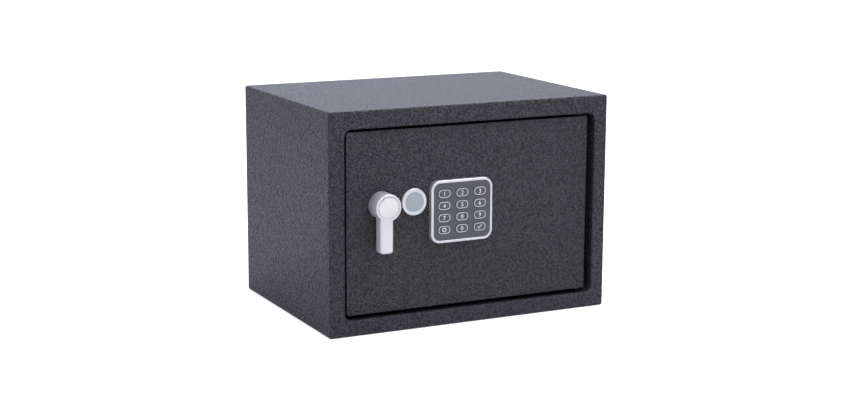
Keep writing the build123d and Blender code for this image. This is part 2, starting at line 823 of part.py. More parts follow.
# Keypad housing: a moulded frame with a rounded edge and an inner ledge for the panel
keypad_front_y = door_front_y - keypad_thickness
pocket_width = keypad_width - 2 * keypad_border
pocket_tall = keypad_tall - 2 * keypad_border
pocket_corner = keypad_corner - keypad_border
ledge_y = keypad_front_y + keypad_ledge_depth
with BuildPart() as keypad_housing:
    with BuildSketch(facing(door_front_y)):
        with Locations((keypad_x, keypad_z)):
            RectangleRounded(keypad_width, keypad_tall, keypad_corner)
    extrude(amount=keypad_thickness)
    chamfer(keypad_housing.faces().sort_by(Axis.Y)[0].edges(), keypad_edge)
    with BuildSketch(facing(keypad_front_y)):
        with Locations((keypad_x, keypad_z)):
            RectangleRounded(pocket_width, pocket_tall, pocket_corner)
    extrude(amount=-keypad_ledge_depth, mode=Mode.SUBTRACT)
    with BuildSketch(facing(door_front_y)):
        with Locations((keypad_x, keypad_z)):
            RectangleRounded(
                pocket_width - 2 * keypad_ledge_width,
                pocket_tall - 2 * keypad_ledge_width,
                pocket_corner - keypad_ledge_width,
            )
    extrude(amount=keypad_thickness - keypad_ledge_depth, mode=Mode.SUBTRACT)
save(keypad_housing, "keypad_housing")

# Keypad panel: a plate on the ledge with twelve rounded openings
panel_back_y = ledge_y
panel_front_y = panel_back_y - panel_thickness
with BuildPart() as keypad_panel:
    with BuildSketch(facing(panel_back_y)):
        with Locations((keypad_x, keypad_z)):
            RectangleRounded(
                pocket_width - 2 * panel_fit,
                pocket_tall - 2 * panel_fit,
                pocket_corner - panel_fit,
            )
            with GridLocations(key_pitch_x, key_pitch_z, key_columns, key_rows):
                RectangleRounded(
                    key_width + 2 * key_clearance,
                    key_tall + 2 * key_clearance,
                    key_corner + key_clearance,
                    mode=Mode.SUBTRACT,
                )
    extrude(amount=panel_thickness)
save(keypad_panel, "keypad_panel")

# Keys: each has a cap in front of the panel and a wider foot behind it
key_names = ("1", "2", "3", "4", "5", "6", "7", "8", "9", "ring", "0", "tick")
key_foot_y = panel_back_y + key_seat_gap
for number, key_name in enumerate(key_names):
    key_x = keypad_x + (number % key_columns - (key_columns - 1) / 2) * key_pitch_x
    key_z = keypad_z + ((key_rows - 1) / 2 - number // key_columns) * key_pitch_z
    with BuildPart() as key:
        with BuildSketch(facing(key_foot_y)):
            with Locations((key_x, key_z)):
                RectangleRounded(key_width, key_tall, key_corner)
        extrude(amount=key_foot_y - panel_front_y + key_proud)
        with BuildSketch(facing(key_foot_y)):
            with Locations((key_x, key_z)):
                Rectangle(key_width + 2 * key_flange, key_tall + 2 * key_flange)
        extrude(amount=-key_flange_thickness)
    save(key, f"key_{key_name}")

# Keypad board, against the door, and the key mat on it with a pad under each key
inner_width = pocket_width - 2 * keypad_ledge_width - 2 * panel_fit
inner_tall = pocket_tall - 2 * keypad_ledge_width - 2 * panel_fit
inner_corner = pocket_corner - keypad_ledge_width
board_front_y = door_front_y - board_thickness
mat_front_y = board_front_y - mat_thickness
pad_height = mat_front_y - (key_foot_y + key_flange_thickness + key_travel) - key_seat_gap
with BuildPart() as keypad_board:
    with BuildSketch(facing(door_front_y)):
        with Locations((keypad_x, keypad_z)):
            RectangleRounded(inner_width, inner_tall, inner_corner)
    extrude(amount=board_thickness)
save(keypad_board, "keypad_board")

with BuildPart() as key_mat:
    with BuildSketch(facing(board_front_y)):
        with Locations((keypad_x, keypad_z)):
            RectangleRounded(inner_width, inner_tall, inner_corner)
    extrude(amount=mat_thickness)
    with BuildSketch(facing(mat_front_y)):
        with Locations((keypad_x, keypad_z)):
            with GridLocations(key_pitch_x, key_pitch_z, key_columns, key_rows):
                Rectangle(mat_pad_width, mat_pad_width)
    extrude(amount=pad_height)
save(key_mat, "key_mat")

# Battery bay: half-way up the cover, at its hinge-side wall
case_inner_width = cell_count * cell_pitch + cell_gap
case_inner_tall = cell_length + 2 * contact_room
case_width = case_inner_width + 2 * case_wall
case_tall = case_inner_tall + 2 * case_wall
case_x = cover_right - case_from_cover_right - case_width / 2
case_z = cover_centre[1]
case_front_y = cover_inside_y - case_depth
case_floor_y = case_front_y + case_wall
cell_y = case_floor_y + cell_radius + cell_gap
hatch_width = case_inner_width - 2 * hatch_inset
hatch_tall = case_inner_tall - 2 * hatch_inset
lid_width = case_width + 2 * lid_overlap
lid_tall = case_tall + 2 * lid_overlap
lid_front_y = cover_back_y + lid_gap
lid_back_y = lid_front_y + lid_thickness
reset_x = case_x
reset_z = case_z + lid_tall / 2 + reset_above_lid
cover_fixings = GridLocations(cover_width - 2 * post_inset, cover_height - 2 * post_inset, 2, 2)
fixing_points = [
    (cover_centre[0] + place.position.X, cover_centre[1] + place.position.Y)
    for place in cover_fixings.locations
]

# Mechanism cover: a pressed steel tray over the works, with a hatch and rails for its lid
rail_z = lid_tall / 2 + rail_side_gap
with BuildPart() as mechanism_cover:
    with BuildSketch(facing(cover_back_y)):
        with Locations(cover_centre):
            RectangleRounded(cover_width, cover_height, cover_corner)
    extrude(amount=cover_depth)
    fillet(mechanism_cover.faces().sort_by(Axis.Y)[-1].edges(), cover_edge)
    with BuildSketch(facing(cover_inside_y)):
        with Locations(cover_centre):
            RectangleRounded(
                cover_width - 2 * cover_steel,
                cover_height - 2 * cover_steel,
                cover_corner - cover_steel,
            )
    extrude(amount=cover_depth - cover_steel, mode=Mode.SUBTRACT)
    with BuildSketch(facing(cover_back_y)):
        with Locations((case_x, case_z)):
            Rectangle(hatch_width, hatch_tall)
        with Locations((reset_x, reset_z)):
            Circle(reset_radius + reset_clearance)
        with Locations(*fixing_points):
            Circle(screw_hole_radius)
    extrude(amount=cover_steel, mode=Mode.SUBTRACT)
    with BuildSketch(Plane.YZ.offset(cover_left)):
        with Locations(*[(plate_mid_y, z) for z in bolt_heights]):
            Circle(bolt_radius + bolt_hole_clearance)
    extrude(amount=cover_steel, mode=Mode.SUBTRACT)
    # Each rail is an upright wall with a lip that overhangs the lid's edge
    rail_top_y = lid_back_y + lid_gap
    with BuildSketch(facing(rail_top_y)):
        with Locations(
            (case_x, case_z + rail_z + rail_wall / 2),
            (case_x, case_z - rail_z - rail_wall / 2),
        ):
            Rectangle(lid_width, rail_wall)
    extrude(amount=rail_top_y - cover_back_y)
    with BuildSketch(facing(rail_top_y + rail_wall)):
        with Locations(
            (case_x, case_z + rail_z + (rail_wall - rail_lip) / 2),
            (case_x, case_z - rail_z - (rail_wall - rail_lip) / 2),
        ):
            Rectangle(lid_width, rail_wall + rail_lip)
    extrude(amount=rail_wall)
save(mechanism_cover, "mechanism_cover")

# Cover posts: hexagonal bars welded to the door inside the cover's corners
with BuildPart() as cover_posts:
    with BuildSketch(facing(cover_inside_y)):
        with Locations(*fixing_points):
            RegularPolygon(post_radius, 6)
    extrude(amount=cover_inside_y - door_back_y)
    with BuildSketch(facing(cover_inside_y)):
        with Locations(*fixing_points):
            Circle(screw_radius)
    extrude(amount=screw_length, mode=Mode.SUBTRACT)
save(cover_posts, "cover_posts")

# Cover screws
with BuildPart() as cover_screws:
    with BuildSketch(facing(cover_back_y)):
        with Locations(*fixing_points):
            Circle(screw_head_radius)
    extrude(amount=-screw_head_height)
    with BuildSketch(facing(cover_back_y)):
        with Locations(*fixing_points):
            Circle(screw_radius)
    extrude(amount=screw_length)
save(cover_screws, "cover_screws")

# Battery case: an open tray behind the hatch, with a rib between neighbouring cells
cell_places = [case_x + (n - (cell_count - 1) / 2) * cell_pitch for n in range(cell_count)]
with BuildPart() as battery_case:
    with BuildSketch(facing(cover_inside_y)):
        with Locations((case_x, case_z)):
            Rectangle(case_width, case_tall)
    extrude(amount=case_depth)
    with BuildSketch(facing(cover_inside_y)):
        with Locations((case_x, case_z)):
            Rectangle(case_inner_width, case_inner_tall)
    extrude(amount=case_depth - case_wall, mode=Mode.SUBTRACT)
    with BuildSketch(facing(case_floor_y)):
        with Locations(*[(x + cell_pitch / 2, case_z) for x in cell_places[:-1]]):
            Rectangle(case_rib, case_inner_tall - 2 * contact_room)
    extrude(amount=-case_rib_height)
save(battery_case, "battery_case")

# Cells, head to tail in turn
with BuildPart() as battery_cells:
    for place, x in enumerate(cell_places):
        up = 1 if place % 2 == 0 else -1
        with BuildSketch(Plane.XY.offset(case_z - up * cell_length / 2)):
            with Locations((x, cell_y)):
                Circle(cell_radius)
        extrude(amount=up * (cell_length - cell_nub))
        with BuildSketch(Plane.XY.offset(case_z + up * (cell_length / 2 - cell_nub))):
            with Locations((x, cell_y)):
                Circle(cell_nub_radius)
        extrude(amount=up * cell_nub)
save(battery_cells, "battery_cells")

# Battery contacts: a plate and a tip at both ends of every cell
with BuildPart() as battery_contacts:
    for x in cell_places:
        for side in (-1, 1):
            with BuildSketch(Plane.XY.offset(case_z + side * case_inner_tall / 2)):
                with Locations((x, cell_y)):
                    Rectangle(contact_plate_size, contact_plate_size)
            extrude(amount=-side * contact_plate)
            with BuildSketch(Plane.XY.offset(case_z + side * case_inner_tall / 2)):
                with Locations((x, cell_y)):
                    Rectangle(contact_tip_width, contact_tip_width)
            extrude(amount=-side * (contact_room - cell_gap))
save(battery_contacts, "battery_contacts")

# Battery lid: a plate that slides out of its rails, with a ribbed thumb grip
grip_x = case_x - lid_width / 2 + lid_grip_pitch * (lid_grip_count + 1)
with BuildPart() as battery_lid:
    with BuildSketch(facing(lid_back_y)):
        with Locations((case_x, case_z)):
            Rectangle(lid_width, lid_tall)
    extrude(amount=lid_thickness)
    with BuildSketch(facing(lid_back_y)):
        with Locations((grip_x, case_z)):
            with GridLocations(lid_grip_pitch, 0, lid_grip_count, 1):
                Rectangle(lid_grip_width, lid_grip_length)
    extrude(amount=lid_grip_depth, mode=Mode.SUBTRACT)
save(battery_lid, "battery_lid")

# Reset switch: a cup on the inner side of the cover that holds the reset button
with BuildPart() as reset_switch:
    with BuildSketch(facing(cover_inside_y)):
        with Locations((reset_x, reset_z)):
            Circle(reset_cup_radius)
    extrude(amount=reset_cup_depth)
    with BuildSketch(facing(cover_inside_y)):
        with Locations((reset_x, reset_z)):
            Circle(reset_flange_radius + reset_clearance)
    extrude(amount=reset_cup_bore_depth, mode=Mode.SUBTRACT)
save(reset_switch, "reset_switch")

# Reset button with its flange behind the cover
reset_flange_y = cover_inside_y - reset_seat_gap
with BuildPart() as reset_button:
    with BuildSketch(facing(cover_back_y + reset_proud)):
        with Locations((reset_x, reset_z)):
            Circle(reset_radius)
    extrude(amount=cover_back_y + reset_proud - reset_flange_y)
    chamfer(reset_button.faces().sort_by(Axis.Y)[-1].edges(), reset_edge)
    with BuildSketch(facing(reset_flange_y)):
        with Locations((reset_x, reset_z)):
            Circle(reset_flange_radius)
    extrude(amount=reset_flange)
save(reset_button, "reset_button")

# Main board on four hexagonal spacers, with its larger components
main_board_x = latch_x + main_board_from_latch
main_board_z = door_centre[1] - main_board_below_middle
main_board_y = door_back_y + main_board_gap
with BuildPart() as board_spacers:
    with BuildSketch(facing(door_back_y)):
        with Locations((main_board_x, main_board_z)):
            with GridLocations(
                main_board_width - 2 * spacer_inset, main_board_height - 2 * spacer_inset, 2, 2
            ):
                RegularPolygon(spacer_radius, 6)
    extrude(amount=-main_board_gap)
save(board_spacers, "board_spacers")

# Across, up, width, height and thickness of the processor, the relay and the three lead plugs
components = (
    (-6.0, 4.0, 14.0, 14.0, 2.0),
    (-24.0, 6.0, 12.0, 16.0, 10.0),
    (26.0, -8.0, 12.0, 8.0, 7.0),
    (8.0, 16.0, 18.0, 6.0, 6.0),
    (-24.0, -14.0, 10.0, 6.0, 7.0),
)
buzzer_place = (16.0, -2.0)
buzzer_radius = 6.0
buzzer_height = 9.0
with BuildPart() as circuit_board:
    with BuildSketch(facing(main_board_y)):
        with Locations((main_board_x, main_board_z)):
            Rectangle(main_board_width, main_board_height)
    extrude(amount=-board_thickness)
    for x, z, across, tall, high in components:
        with BuildSketch(facing(main_board_y + board_thickness)):
            with Locations((main_board_x + x, main_board_z + z)):
                Rectangle(across, tall)
        extrude(amount=-high)
    with BuildSketch(facing(main_board_y + board_thickness)):
        with Locations((main_board_x + buzzer_place[0], main_board_z + buzzer_place[1])):
            Circle(buzzer_radius)
    extrude(amount=-buzzer_height)
save(circuit_board, "circuit_board")
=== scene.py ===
"""A small electronic safe: finishes, fine pieces and a studio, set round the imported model."""
import math

import bmesh
import bpy
import numpy as np
from bpy.props import FloatProperty, FloatVectorProperty, IntProperty
from mathutils import Matrix, Vector


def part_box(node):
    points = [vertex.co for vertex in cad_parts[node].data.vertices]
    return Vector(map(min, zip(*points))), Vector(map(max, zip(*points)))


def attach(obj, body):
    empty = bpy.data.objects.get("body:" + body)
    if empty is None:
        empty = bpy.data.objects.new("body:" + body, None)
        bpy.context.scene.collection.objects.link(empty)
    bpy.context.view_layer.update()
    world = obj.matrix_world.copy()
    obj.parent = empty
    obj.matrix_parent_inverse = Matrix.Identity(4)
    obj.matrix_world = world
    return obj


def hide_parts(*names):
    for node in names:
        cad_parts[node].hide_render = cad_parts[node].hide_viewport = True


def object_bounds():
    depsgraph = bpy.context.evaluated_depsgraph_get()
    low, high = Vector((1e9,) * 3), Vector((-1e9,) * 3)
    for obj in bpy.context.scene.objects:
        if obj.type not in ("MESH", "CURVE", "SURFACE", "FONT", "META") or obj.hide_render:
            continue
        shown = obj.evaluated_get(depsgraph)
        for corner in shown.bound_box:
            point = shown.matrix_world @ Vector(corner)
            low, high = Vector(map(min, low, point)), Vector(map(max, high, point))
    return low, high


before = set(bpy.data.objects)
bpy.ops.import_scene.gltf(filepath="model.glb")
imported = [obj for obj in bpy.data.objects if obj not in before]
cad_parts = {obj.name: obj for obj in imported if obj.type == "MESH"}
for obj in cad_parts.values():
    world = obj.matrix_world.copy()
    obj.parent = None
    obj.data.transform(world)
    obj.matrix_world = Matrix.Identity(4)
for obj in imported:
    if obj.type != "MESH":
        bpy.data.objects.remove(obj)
cad_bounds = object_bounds()

bl_info = {
    "name": "Electronic safe",
    "version": (1, 0, 0),
    "blender": (4, 5, 0),
    "location": "3D View > Sidebar > Safe",
    "description": "Finishes, fine pieces and a studio for a small electronic safe",
    "category": "Object",
}

MM = 0.001
# Radius of the small flat face that closes a turned piece on its axis
AXIS_FLAT = 0.2 * MM
KEY_LEGENDS = {
    "key_1": "1", "key_2": "2", "key_3": "3", "key_4": "4", "key_5": "5", "key_6": "6",
    "key_7": "7", "key_8": "8", "key_9": "9", "key_0": "0", "key_ring": "", "key_tick": "",
}


def linear(hex_colour):
    """An sRGB hex value as linear red, green and blue, with an alpha of one."""
    parts = [int(hex_colour[i:i + 2], 16) / 255 for i in (1, 3, 5)]
    return tuple(c / 12.92 if c <= 0.04045 else ((c + 0.055) / 1.055) ** 2.4 for c in parts) + (1.0,)


def colour_property(name, description, hex_colour):
    """A colour that a user can change, with its default given in sRGB hex."""
    return FloatVectorProperty(
        name=name, description=description, default=linear(hex_colour),
        subtype="COLOR", size=4, min=0, max=1,
    )


def size_property(name, description, millimetres):
    """A length that a user can change, with its default given in millimetres."""
    return FloatProperty(
        name=name, description=description, default=millimetres * MM, subtype="DISTANCE", unit="LENGTH"
    )


def angle_property(name, description, degrees):
    """An angle that a user can change, with its default given in degrees."""
    return FloatProperty(
        name=name, description=description, default=math.radians(degrees), subtype="ANGLE"
    )


class SafeCoating(bpy.types.PropertyGroup):
    """The textured powder coat on the body and the door."""

    body: colour_property("Body coat", "Crests of the coat on the body", "#333036")
    door: colour_property("Door coat", "Crests of the coat on the door", "#343236")
    grain: size_property("Coat grain", "Distance between the crests of the coat's grain", 2.1)
    grain_height: size_property("Coat relief", "Height of the coat's grain", 1.4)


class SafeFittings(bpy.types.PropertyGroup):
    """The metal and plastic fittings on the front of the door."""

    handle: colour_property("Handle", "Silver lacquer on the handle casting", "#e3e2e7")
    disc: colour_property("Handle disc", "Spun face let into the hub", "#eeece8")
    silver: colour_property("Silver plastic", "Keypad frame and cap ring", "#dad9de")
    cap_face: colour_property("Cap face", "Plain disc in the cap", "#a0abb0")
    panel: colour_property("Keypad panel", "Plate behind the keys", "#55555d")
    legend: colour_property("Legends", "Printed digits and key outlines", "#e6e6ea")
    outline_width: size_property("Key outline", "Width of the line printed round a key", 0.62)
    legend_height: size_property("Legend height", "Height of a digit on its key", 4.6)
    disc_groove: size_property("Disc groove", "Pitch of the turned grooves on the handle disc", 0.9)


class SafeWorks(bpy.types.PropertyGroup):
    """The works behind the door."""

    zinc: colour_property("Zinc plate", "Passivated zinc on the steel parts", "#b9bcc0")
    sleeve: colour_property("Cell sleeve", "Plain sleeve of the cells", "#33363a")
    reset: colour_property("Reset button", "Button inside the door", "#b3261c")
    recess_depth: size_property("Screw recess", "Depth of the cross recess in the cover screws", 1.0)


class SafeStudio(bpy.types.PropertyGroup):
    """The floor, the lamps and the camera."""

    floor: colour_property("Floor", "Plain pale floor", "#f4f4f4")
    lens: FloatProperty(name="Lens", description="Focal length of the camera in millimetres", default=71.24)
    azimuth: angle_property("Azimuth", "Camera's turn round the safe", -26.61)
    elevation: angle_property("Elevation", "Camera's height as an angle", 11.34)
    roll: angle_property("Roll", "Camera's turn about its own view", 0.26)
    distance: size_property("Distance", "From the camera to the middle of the body", 2006)
    key_power: IntProperty(name="Front lamp", description="Power of the front lamp in watts", default=8)


def add_node(tree, kind, sockets=None, **settings):
    """Add a node: settings are its own properties, and sockets are values or links for its inputs."""
    made = tree.nodes.new(kind)
    for name, value in settings.items():
        setattr(made, name, value)
    for name, value in (sockets or {}).items():
        if isinstance(value, bpy.types.NodeSocket):
            tree.links.new(value, made.inputs[name])
        else:
            made.inputs[name].default_value = value
    return made


def new_material(name, **values):
    """A material with its Principled shader; values are set on the shader's own sockets."""
    material = bpy.data.materials.new(name)
    material.use_nodes = True
    shader = material.node_tree.nodes["Principled BSDF"]
    for socket, value in values.items():
        shader.inputs[socket.replace("_", " ")].default_value = value
    return material, material.node_tree, shader


def grained(
    name, colour, depth=0.12, grain=1.0, relief=0.01, rough=(0.3, 0.4), stretch=(1, 1, 1), **values
):
    """A finish whose tone, gloss and relief all follow one noise of the given grain in millimetres.

    Stretch divides the pattern's frequency along each axis, so a brushed face has a long grain one way.
    """
    material, tree, shader = new_material(name, **values)
    place = add_node(tree, "ShaderNodeTexCoord").outputs["Object"]
    turned_place = add_node(
        tree, "ShaderNodeMapping", {"Vector": place, "Scale": [1 / s for s in stretch]}
    ).outputs["Vector"]
    noise = add_node(
        tree, "ShaderNodeTexNoise",
        {"Vector": turned_place, "Scale": 1 / (grain * MM), "Detail": 4.0, "Roughness": 0.55},
    ).outputs["Fac"]
    dark = [c * (1 - depth) for c in colour[:3]] + [1.0]
    tree.links.new(mixed(tree, noise, dark, colour), shader.inputs["Base Color"])
    gloss = add_node(
        tree, "ShaderNodeMapRange", {"Value": noise, "To Min": rough[0], "To Max": rough[1]}
    ).outputs["Result"]
    tree.links.new(gloss, shader.inputs["Roughness"])
    bump = add_node(
        tree, "ShaderNodeBump", {"Height": noise, "Distance": relief * MM, "Strength": 1.0}
    ).outputs["Normal"]
    tree.links.new(bump, shader.inputs["Normal"])
    return material


def mixed(tree, share, first, second):
    """A colour between the first and the second; a Mix node's colours are its inputs 6 and 7."""
    return add_node(
        tree, "ShaderNodeMix", {"Factor": share, 6: first, 7: second}, data_type="RGBA"
    ).outputs[2]


def powder_coat(name, colour, grain, relief):
    """Textured polyester powder coat, baked on steel: a leathery grain of low rounded crests.

    The crests are glossy and catch the light; the pits between them are dull, and their colour is darkened
    as painted shade.
    """
    # Painted shade in the pits: their colour is the crest colour times this tone
    pit_shade_tone, fine_share = 0.74, 0.35
    material, tree, shader = new_material(name, IOR=1.5)
    shader.inputs["Specular Tint"].default_value = linear("#eceaf2")
    place = add_node(tree, "ShaderNodeTexCoord").outputs["Object"]
    wander = add_node(
        tree, "ShaderNodeTexNoise", {"Vector": place, "Scale": 0.5 / grain, "Detail": 2.0}
    ).outputs["Color"]
    pulled = add_node(
        tree, "ShaderNodeVectorMath", {0: wander, 1: (grain, grain, grain)}, operation="MULTIPLY"
    ).outputs["Vector"]
    moved = add_node(tree, "ShaderNodeVectorMath", {0: place, 1: pulled}, operation="ADD").outputs["Vector"]
    crest = add_node(
        tree, "ShaderNodeTexVoronoi",
        {"Vector": moved, "Scale": 1 / grain, "Smoothness": 0.35}, feature="SMOOTH_F1",
    ).outputs["Distance"]
    fine = add_node(
        tree, "ShaderNodeTexNoise", {"Vector": place, "Scale": 2.2 / grain, "Detail": 3.0}
    ).outputs["Fac"]
    height = add_node(
        tree, "ShaderNodeMath", {0: crest, 1: -1.0, 2: 1.0}, operation="MULTIPLY_ADD"
    ).outputs["Value"]
    height = add_node(
        tree, "ShaderNodeMath", {0: fine, 1: fine_share, 2: height}, operation="MULTIPLY_ADD"
    ).outputs["Value"]
    # Painted shade: the pits' colour is darkened by this tone, standing in for the shade that falls into
    # them
    painted_pit_shade = [c * pit_shade_tone for c in colour[:3]] + [1.0]
    share = add_node(
        tree, "ShaderNodeMapRange", {"Value": height, "From Min": 0.55, "From Max": 1.05}
    ).outputs["Result"]
    shine = add_node(
        tree, "ShaderNodeMapRange", {"Value": share, "To Min": 0.25, "To Max": 0.85}
    ).outputs["Result"]
    tree.links.new(shine, shader.inputs["Specular IOR Level"])
    tree.links.new(mixed(tree, share, painted_pit_shade, colour), shader.inputs["Base Color"])
    gloss = add_node(
        tree, "ShaderNodeMapRange", {"Value": share, "To Min": 0.45, "To Max": 0.22}
    ).outputs["Result"]
    tree.links.new(gloss, shader.inputs["Roughness"])
    bump = add_node(
        tree, "ShaderNodeBump", {"Height": height, "Distance": relief, "Strength": 1.0}
    ).outputs["Normal"]
    tree.links.new(bump, shader.inputs["Normal"])
    return material


def rounded_rectangle(width, tall, radius, per_corner=10):
    """Points of four quarter circles of the radius, each about the centre of its own corner."""
    corner = np.repeat(np.arange(4), per_corner)
    angle = (corner + np.tile(np.linspace(0, 1, per_corner), 4)) * math.pi / 2
    side_x = np.where((corner == 0) | (corner == 3), 1, -1)
    side_z = np.where(corner < 2, 1, -1)
    return np.stack(
        [
            side_x * (width / 2 - radius) + radius * np.cos(angle),
            side_z * (tall / 2 - radius) + radius * np.sin(angle),
        ],
        axis=-1,
    )


def arc(centre, radius, start, end, count=8):
    """Points of a circle about the centre, from the start angle to the end angle in degrees."""
    angle = np.radians(np.linspace(start, end, count))
    return np.stack([centre[0] + radius * np.cos(angle), centre[1] + radius * np.sin(angle)], axis=-1)


def rings_to_surface(rings, loop=False):
    """Four-sided faces between each ring of points and the next.

    The end rings are closed with one flat face each, or with loop the last ring joins the first.
    """
    count, around = rings.shape[:2]
    index = np.arange(count * around).reshape(count, around)
    upper = np.roll(index, -1, axis=0) if loop else index[1:]
    lower = index if loop else index[:-1]
    faces = np.stack(
        [lower, np.roll(lower, -1, axis=1), np.roll(upper, -1, axis=1), upper], axis=-1
    ).reshape(-1, 4).tolist()
    if not loop:
        faces += [index[0][::-1].tolist(), index[-1].tolist()]
    return rings.reshape(-1, 3), faces


def turned(profile, centre, sides=96, loop=False):
    """A profile of (radius, y) carried round the Y axis through the centre: x and z are its radius
    times the cosine and sine of the angle."""
    profile = np.asarray(profile, float)
    angle = np.linspace(0, 2 * math.pi, sides, endpoint=False)
    radius, y = profile[:, :1], profile[:, 1:]
    rings = np.stack(
        [centre[0] + radius * np.cos(angle), y + 0 * angle, centre[1] + radius * np.sin(angle)], axis=-1
    )
    return rings_to_surface(rings, loop)


def framed(profile, centre, width, tall, radius, loop=False, per_corner=10):
    """A profile of (inset, y) carried round a rounded rectangle that faces the front.

    At each step the rectangle is smaller by the inset on every side, and its corners keep their centres.
    """
    rings = []
    for inset, y in profile:
        outline = rounded_rectangle(
            width - 2 * inset, tall - 2 * inset, max(radius - inset, 0.05 * MM), per_corner
        )
        x, z = centre[0] + outline[:, 0], centre[1] + outline[:, 1]
        rings.append(np.stack([x, np.full(len(outline), y), z], axis=-1))
    return rings_to_surface(np.array(rings), loop)


def build(name, surfaces, material, body, replaces=(), sharp=35):
    """Put surfaces into one mesh, turn its faces outwards, and let it ride on its body."""
    points, faces, offset = [], [], 0
    for surface_points, surface_faces in surfaces:
        points.append(surface_points)
        faces += [[i + offset for i in face] for face in surface_faces]
        offset += len(surface_points)
    mesh = bpy.data.meshes.new(name)
    mesh.from_pydata(np.concatenate(points).tolist(), [], faces)
    work = bmesh.new()
    work.from_mesh(mesh)
    bmesh.ops.remove_doubles(work, verts=work.verts, dist=1e-7)
    bmesh.ops.recalc_face_normals(work, faces=work.faces)
    work.to_mesh(mesh)
    work.free()
    mesh.shade_smooth()
    mesh.set_sharp_from_angle(angle=math.radians(sharp))
    mesh.materials.append(material)
    piece = bpy.data.objects.new(name, mesh)
    bpy.context.scene.collection.objects.link(piece)
    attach(piece, body)
    if replaces:
        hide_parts(*replaces)
    return piece


def dress(nodes, material):
    """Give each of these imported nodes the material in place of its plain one."""
    for name in nodes:
        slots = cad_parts[name].data.materials
        slots.clear()
        slots.append(material)


def middle(node):
    """The middle of a node's box, across and up, and its front and back depth."""
    low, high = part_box(node)
    return ((low.x + high.x) / 2, (low.z + high.z) / 2), low.y, high.y


class SAFE_OT_coating(bpy.types.Operator):
    """Coat the body and the door"""

    bl_idname = "safe.coating"
    bl_label = "Coat the body and the door"

    def execute(self, context):
        coat = context.scene.safe_coating
        body = powder_coat("polyester_powder_coat_body", coat.body, coat.grain, coat.grain_height)
        door = powder_coat("polyester_powder_coat_door", coat.door, coat.grain, coat.grain_height)
        dress(("body_shell", "back_panel", "hinge_bushes"), body)
        dress(("door_plate", "hinge_arms", "mechanism_cover"), door)
        return {"FINISHED"}


class SAFE_OT_handle(bpy.types.Operator):
    """Model the handle: a turned hub and a straight lever in one casting, and the disc in its face"""

    bl_idname = "safe.handle"
    bl_label = "Model the handle"

    def execute(self, context):
        fittings = context.scene.safe_fittings
        low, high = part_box("handle_lever")
        radius = (high.x - low.x) / 2
        centre = ((low.x + high.x) / 2, high.z - radius)
        disc_low, disc_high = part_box("handle_disc")
        disc_radius = (disc_high.x - disc_low.x) / 2
        # Silver lacquer over a polished zinc casting: an even, soft sheen with hardly any grain
        casting = grained(
            "silver_lacquered_zinc", fittings.handle, depth=0.05, grain=0.8, relief=0.004, rough=(0.3, 0.36),
            Metallic=0.4,
        )
        edge, lip, bevel, pocket = 1.1 * MM, 0.25 * MM, 0.3 * MM, disc_radius + 0.9 * MM
        front, back, floor = low.y, high.y, disc_high.y
        hub = np.concatenate([
            [(AXIS_FLAT, back), (radius - bevel, back), (radius, back - bevel)],
            arc((radius - edge, front + edge), edge, 0, -90, 10),
            [(pocket + lip, front), (pocket, front + lip), (pocket, floor), (AXIS_FLAT, floor)],
        ])
        width, front_gap, back_gap = 16 * MM, 3 * MM, 1.6 * MM
        lever_front, lever_back = front + front_gap, back - back_gap
        corner, end = 5.0 * MM, 3.2 * MM
        ease = np.radians(np.linspace(0, 90, 9))
        insets = np.append(end * (1 - np.sin(ease)), 0.0)
        heights = np.append(low.z + end * (1 - np.cos(ease)), centre[1] - radius / 2)
        lever = []
        for inset, z in zip(insets, heights):
            outline = rounded_rectangle(
                width - 2 * inset, lever_back - lever_front - 2 * inset, max(corner - inset, bevel)
            )
            outline_y = (lever_front + lever_back) / 2 + outline[:, 1]
            lever.append(np.stack([centre[0] + outline[:, 0], outline_y, np.full(len(outline), z)], axis=-1))
        surfaces = [turned(hub, centre), rings_to_surface(np.array(lever))]
        build("handle_casting", surfaces, casting, "handle", ("handle_lever",), sharp=50)
        self.disc(fittings, centre, disc_radius, disc_low.y, disc_high.y)
        return {"FINISHED"}

    def disc(self, fittings, centre, radius, front, back):
        """The disc's face is a shallow dish: its depth grows with the square of the radius from the
        rim inwards, and a sine of the groove pitch is added to it."""
        # Spun aluminium: fine turned grooves that draw the light into two bright fans
        spun = grained(
            "spun_aluminium", fittings.disc, depth=0.04, grain=0.5, relief=0.002, rough=(0.3, 0.4),
            Metallic=1.0, Anisotropic=0.95,
        )
        tree = spun.node_tree
        round_the_axis = add_node(tree, "ShaderNodeTangent", direction_type="RADIAL", axis="Y")
        tree.links.new(
            round_the_axis.outputs["Tangent"], tree.nodes["Principled BSDF"].inputs["Tangent"]
        )
        rim_width, dish_depth, groove_depth = 0.5 * MM, 0.35 * MM, 0.012 * MM
        steps = np.linspace(radius - rim_width, AXIS_FLAT, 120)
        dish = dish_depth * (1 - (steps / radius) ** 2)
        groove = groove_depth * np.sin(2 * math.pi * steps / fittings.disc_groove)
        face = np.stack([steps, front + dish + groove], axis=-1)
        rim = [
            (AXIS_FLAT, back), (radius, back),
            (radius, front + 0.4 * MM), (radius - 0.15 * MM, front + 0.1 * MM),
        ]
        surface = turned(np.concatenate([rim, face]), centre, 128)
        build("handle_disc_spun", [surface], spun, "handle", ("handle_disc",))


